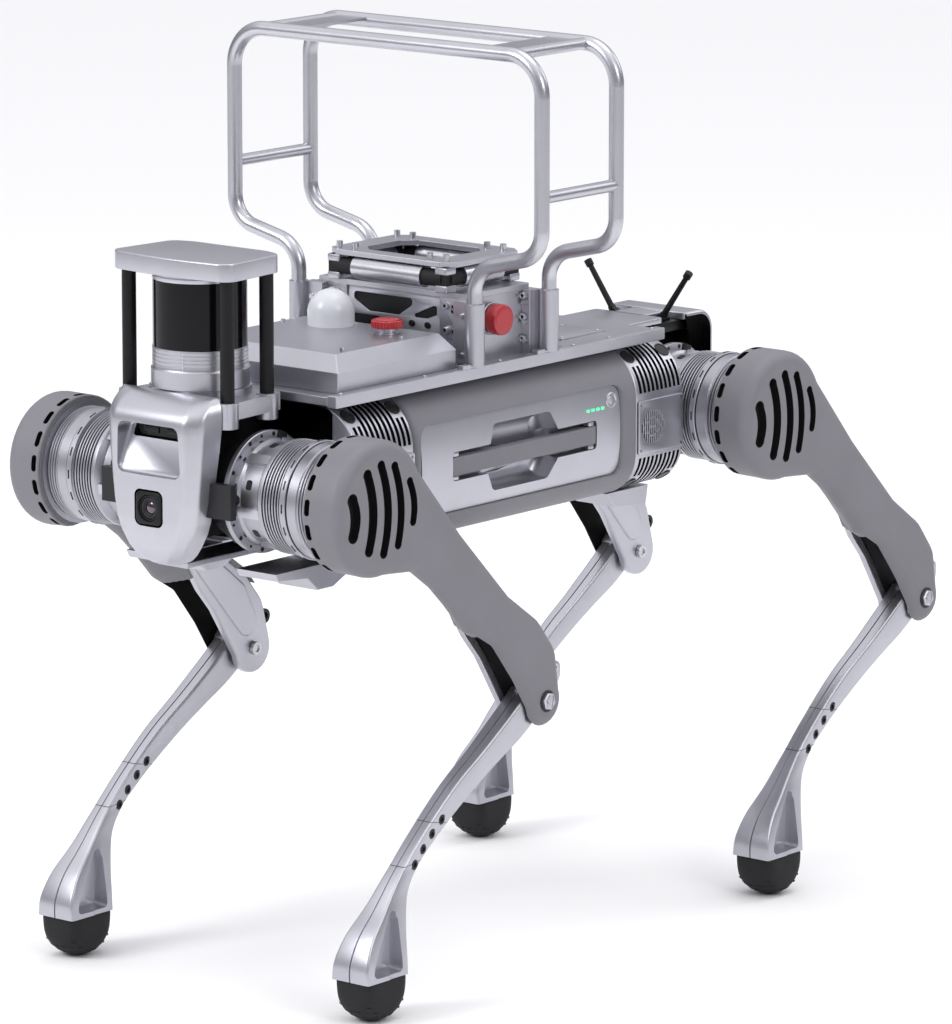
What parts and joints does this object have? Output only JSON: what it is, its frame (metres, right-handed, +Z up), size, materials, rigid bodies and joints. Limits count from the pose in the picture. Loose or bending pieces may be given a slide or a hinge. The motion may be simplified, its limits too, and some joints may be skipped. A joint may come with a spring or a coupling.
{
  "type": "quadruped robot dog",
  "caption": "Four-legged walking robot with side battery, sensor mast, payload tower and roll cage; jointed legs, buttons, knob and antennas.",
  "frame": {"origin": "on the floor under the middle of the whole outline at rest", "axes": "+X forward towards the head, +Y to the robot's left, +Z up"},
  "size_m": [1.0569, 0.4532, 0.9472],
  "materials": {
    "satin_silver": "bead-blasted satin",
    "grey_shell": "fine matt texture",
    "black_alloy": "black anodised",
    "black_plastic": "semi-matt",
    "dark_window": "gloss",
    "white_plastic": "satin",
    "red_plastic": "satin",
    "rubber_black": "matt",
    "screw_steel": "machined",
    "green_light": "lit"
  },
  "bodies": {
    "trunk": {"trunk_frame": "black_alloy", "body_cover": "grey_shell", "heat_sinks": "satin_silver", "deck_plate": "satin_silver", "deck_rails": "satin_silver", "equipment_box": "satin_silver", "antenna_dome": "white_plastic", "tower_plates": "satin_silver", "tower_screws": "screw_steel", "isolator_tubes": "satin_silver", "isolator_rubbers": "rubber_black", "isolator_frame": "satin_silver", "post_sleeves": "satin_silver", "cage_frame": "satin_silver", "head_shell": "satin_silver", "head_camera": "black_plastic", "sensor_platform": "satin_silver", "lidar_body": "satin_silver", "lidar_window": "dark_window", "lidar_pillars": "black_alloy", "lidar_guard": "satin_silver", "tail_cover": "satin_silver", "belly_skids": "satin_silver"},
    "battery": {"battery_pack": "satin_silver", "battery_handle": "grey_shell", "charge_lights": "green_light"},
    "power_button": {"power_button": "satin_silver"},
    "estop_button": {"estop_button": "red_plastic"},
    "top_knob": {"top_knob": "red_plastic"},
    "antenna_left": {"antenna_left": "black_plastic"},
    "antenna_right": {"antenna_right": "black_plastic"},
    "fl_hip": {"fl_hip_housing": "satin_silver"},
    "fl_thigh": {"fl_thigh_frame": "satin_silver", "fl_thigh_cover": "grey_shell"},
    "fl_calf": {"fl_calf": "satin_silver", "fl_foot_pad": "rubber_black"},
    "fl_crank": {"fl_knee_crank": "screw_steel"},
    "fl_rod": {"fl_knee_rod": "black_alloy"},
    "fr_hip": {"fr_hip_housing": "satin_silver"},
    "fr_thigh": {"fr_thigh_frame": "satin_silver", "fr_thigh_cover": "grey_shell"},
    "fr_calf": {"fr_calf": "satin_silver", "fr_foot_pad": "rubber_black"},
    "fr_crank": {"fr_knee_crank": "screw_steel"},
    "fr_rod": {"fr_knee_rod": "black_alloy"},
    "rl_hip": {"rl_hip_housing": "satin_silver"},
    "rl_thigh": {"rl_thigh_frame": "satin_silver", "rl_thigh_cover": "grey_shell"},
    "rl_calf": {"rl_calf": "satin_silver", "rl_foot_pad": "rubber_black"},
    "rl_crank": {"rl_knee_crank": "screw_steel"},
    "rl_rod": {"rl_knee_rod": "black_alloy"},
    "rr_hip": {"rr_hip_housing": "satin_silver"},
    "rr_thigh": {"rr_thigh_frame": "satin_silver", "rr_thigh_cover": "grey_shell"},
    "rr_calf": {"rr_calf": "satin_silver", "rr_foot_pad": "rubber_black"},
    "rr_crank": {"rr_knee_crank": "screw_steel"},
    "rr_rod": {"rr_knee_rod": "black_alloy"}
  },
  "joints": [
    {"name": "fl_abduct", "type": "hinge", "parent": "trunk", "child": "fl_hip", "pos_m": [0.42995, 0.072, 0.5217], "axis": [1, 0, 0], "range_deg": [-14, 33]},
    {"name": "fl_pitch", "type": "hinge", "parent": "fl_hip", "child": "fl_thigh", "pos_m": [0.42995, 0.146, 0.5217], "axis": [0, -1, 0], "range_deg": [-42, 50]},
    {"name": "fl_knee", "type": "hinge", "parent": "fl_thigh", "child": "fl_calf", "pos_m": [0.17255, 0.1995, 0.2846], "axis": [0, 1, 0], "range_deg": [-50, 60]},
    {"name": "fl_crank", "type": "hinge", "parent": "fl_thigh", "child": "fl_crank", "pos_m": [0.42995, 0.1995, 0.5217], "axis": [0, 1, 0], "range_deg": [-50, 60]},
    {"name": "fl_rod", "type": "hinge", "parent": "fl_crank", "child": "fl_rod", "pos_m": [0.39695, 0.191, 0.5487], "axis": [0, 1, 0], "range_deg": [-60, 50]},
    {"name": "fr_abduct", "type": "hinge", "parent": "trunk", "child": "fr_hip", "pos_m": [0.42995, -0.072, 0.5217], "axis": [1, 0, 0], "range_deg": [-33, 14]},
    {"name": "fr_pitch", "type": "hinge", "parent": "fr_hip", "child": "fr_thigh", "pos_m": [0.42995, -0.146, 0.5217], "axis": [0, -1, 0], "range_deg": [-42, 50]},
    {"name": "fr_knee", "type": "hinge", "parent": "fr_thigh", "child": "fr_calf", "pos_m": [0.17255, -0.1995, 0.2846], "axis": [0, 1, 0], "range_deg": [-50, 60]},
    {"name": "fr_crank", "type": "hinge", "parent": "fr_thigh", "child": "fr_crank", "pos_m": [0.42995, -0.1995, 0.5217], "axis": [0, 1, 0], "range_deg": [-50, 60]},
    {"name": "fr_rod", "type": "hinge", "parent": "fr_crank", "child": "fr_rod", "pos_m": [0.39695, -0.191, 0.5487], "axis": [0, 1, 0], "range_deg": [-60, 50]},
    {"name": "rl_abduct", "type": "hinge", "parent": "trunk", "child": "rl_hip", "pos_m": [-0.22705, 0.072, 0.5217], "axis": [1, 0, 0], "range_deg": [-14, 33]},
    {"name": "rl_pitch", "type": "hinge", "parent": "rl_hip", "child": "rl_thigh", "pos_m": [-0.22705, 0.146, 0.5217], "axis": [0, -1, 0], "range_deg": [-42, 50]},
    {"name": "rl_knee", "type": "hinge", "parent": "rl_thigh", "child": "rl_calf", "pos_m": [-0.48445, 0.1995, 0.2846], "axis": [0, 1, 0], "range_deg": [-50, 60]},
    {"name": "rl_crank", "type": "hinge", "parent": "rl_thigh", "child": "rl_crank", "pos_m": [-0.22705, 0.1995, 0.5217], "axis": [0, 1, 0], "range_deg": [-50, 60]},
    {"name": "rl_rod", "type": "hinge", "parent": "rl_crank", "child": "rl_rod", "pos_m": [-0.26005, 0.191, 0.5487], "axis": [0, 1, 0], "range_deg": [-60, 50]},
    {"name": "rr_abduct", "type": "hinge", "parent": "trunk", "child": "rr_hip", "pos_m": [-0.22705, -0.072, 0.5217], "axis": [1, 0, 0], "range_deg": [-33, 14]},
    {"name": "rr_pitch", "type": "hinge", "parent": "rr_hip", "child": "rr_thigh", "pos_m": [-0.22705, -0.146, 0.5217], "axis": [0, -1, 0], "range_deg": [-42, 50]},
    {"name": "rr_knee", "type": "hinge", "parent": "rr_thigh", "child": "rr_calf", "pos_m": [-0.48445, -0.1995, 0.2846], "axis": [0, 1, 0], "range_deg": [-50, 60]},
    {"name": "rr_crank", "type": "hinge", "parent": "rr_thigh", "child": "rr_crank", "pos_m": [-0.22705, -0.1995, 0.5217], "axis": [0, 1, 0], "range_deg": [-50, 60]},
    {"name": "rr_rod", "type": "hinge", "parent": "rr_crank", "child": "rr_rod", "pos_m": [-0.26005, -0.191, 0.5487], "axis": [0, 1, 0], "range_deg": [-60, 50]},
    {"name": "battery_slide", "type": "slide", "parent": "trunk", "child": "battery", "axis": [0, 1, 0], "range_m": [0, 0.2]},
    {"name": "power_push", "type": "slide", "parent": "battery", "child": "power_button", "axis": [0, -1, 0], "range_m": [0, 0.0012], "stiffness_N_per_m": 600},
    {"name": "estop_push", "type": "slide", "parent": "trunk", "child": "estop_button", "axis": [0, -1, 0], "range_m": [0, 0.004], "stiffness_N_per_m": 1500},
    {"name": "knob_turn", "type": "hinge", "parent": "trunk", "child": "top_knob", "pos_m": [0.21745, 0.048, 0.66], "axis": [0, 0, 1], "continuous": true},
    {"name": "antenna_left_tilt", "type": "hinge", "parent": "trunk", "child": "antenna_left", "pos_m": [-0.25695, 0.0321, 0.602], "axis": [1, 0, 0], "range_deg": [-45, 50]},
    {"name": "antenna_right_tilt", "type": "hinge", "parent": "trunk", "child": "antenna_right", "pos_m": [-0.25695, -0.0321, 0.602], "axis": [1, 0, 0], "range_deg": [-50, 45]}
  ],
  "couplings": [
    {"joint": "fl_crank", "follows": "fl_knee", "ratio": 1},
    {"joint": "fl_rod", "follows": "fl_knee", "ratio": -1},
    {"joint": "fr_crank", "follows": "fr_knee", "ratio": 1},
    {"joint": "fr_rod", "follows": "fr_knee", "ratio": -1},
    {"joint": "rl_crank", "follows": "rl_knee", "ratio": 1},
    {"joint": "rl_rod", "follows": "rl_knee", "ratio": -1},
    {"joint": "rr_crank", "follows": "rr_knee", "ratio": 1},
    {"joint": "rr_rod", "follows": "rr_knee", "ratio": -1}
  ]
}
